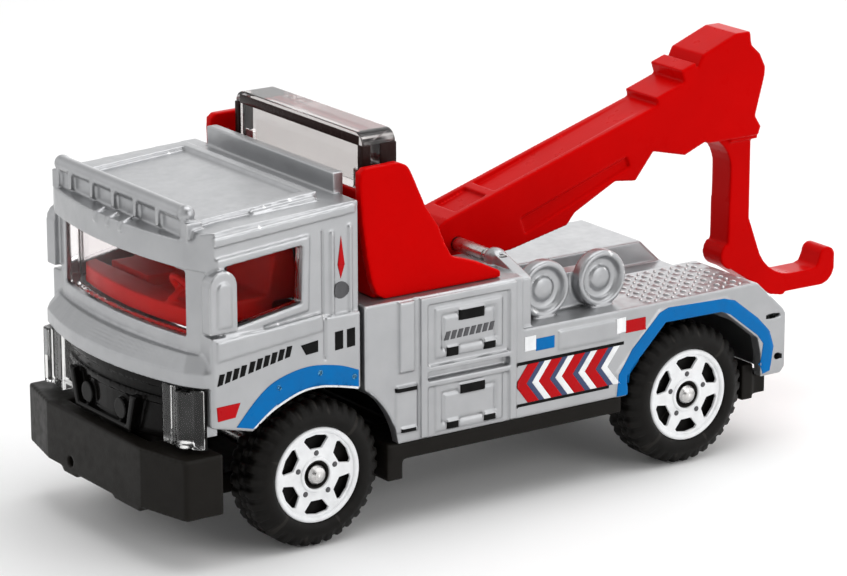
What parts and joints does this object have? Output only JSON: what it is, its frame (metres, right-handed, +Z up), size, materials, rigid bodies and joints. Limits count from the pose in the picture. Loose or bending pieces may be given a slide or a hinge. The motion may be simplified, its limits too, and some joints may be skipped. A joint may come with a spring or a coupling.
{
  "type": "toy tow truck",
  "caption": "Pocket die-cast style toy tow truck with a silver cab and locker bed, a lifting red boom with a fixed hook, a light bar and free-rolling wheels.",
  "frame": {"origin": "centre of the truck's footprint box, on the ground under the wheels", "axes": "+Z up, -Y towards the cab front, +X towards the truck's left side"},
  "size_m": [0.0278, 0.0806, 0.0361],
  "materials": {
    "silver_paint": "satin metallic silver paint on a die-cast shell",
    "red_plastic": "glossy injection-moulded red",
    "black_plastic": "satin moulded warm black",
    "gloss_black": "glossy moulded black",
    "tyre_black": "one-piece hard plastic wheel, satin black",
    "smoked_clear": "smoked clear moulding",
    "clear_plastic": "clear moulding",
    "steel": "bright drawn wire",
    "print_white": "pad-printed white ink",
    "print_blue": "pad-printed blue ink",
    "print_black": "pad-printed black ink"
  },
  "bodies": {
    "truck": {"chassis_base": "black_plastic", "cab_shell": "silver_paint", "service_body": "silver_paint", "window_insert": "smoked_clear", "cab_interior": "red_plastic", "grille_insert": "gloss_black", "headlight_lenses": "smoked_clear", "light_bar": "clear_plastic", "tower": "red_plastic", "boom_pin": "steel", "front_axle": "steel", "rear_axle": "steel"},
    "boom": {"boom": "red_plastic"},
    "wheel_front_left": {"wheel_front_left": "tyre_black"},
    "wheel_front_right": {"wheel_front_right": "tyre_black"},
    "wheel_rear_left": {"wheel_rear_left": "tyre_black"},
    "wheel_rear_right": {"wheel_rear_right": "tyre_black"}
  },
  "joints": [
    {"name": "boom_lift", "type": "hinge", "parent": "truck", "child": "boom", "pos_m": [0, -0.00422, 0.02095], "axis": [1, 0, 0], "range_deg": [0, 45]},
    {"name": "spin_front_left", "type": "hinge", "parent": "truck", "child": "wheel_front_left", "pos_m": [0.0109, -0.02602, 0.0065], "axis": [1, 0, 0], "continuous": true},
    {"name": "spin_front_right", "type": "hinge", "parent": "truck", "child": "wheel_front_right", "pos_m": [-0.0109, -0.02602, 0.0065], "axis": [1, 0, 0], "continuous": true},
    {"name": "spin_rear_left", "type": "hinge", "parent": "truck", "child": "wheel_rear_left", "pos_m": [0.0109, 0.01358, 0.0065], "axis": [1, 0, 0], "continuous": true},
    {"name": "spin_rear_right", "type": "hinge", "parent": "truck", "child": "wheel_rear_right", "pos_m": [-0.0109, 0.01358, 0.0065], "axis": [1, 0, 0], "continuous": true}
  ]
}
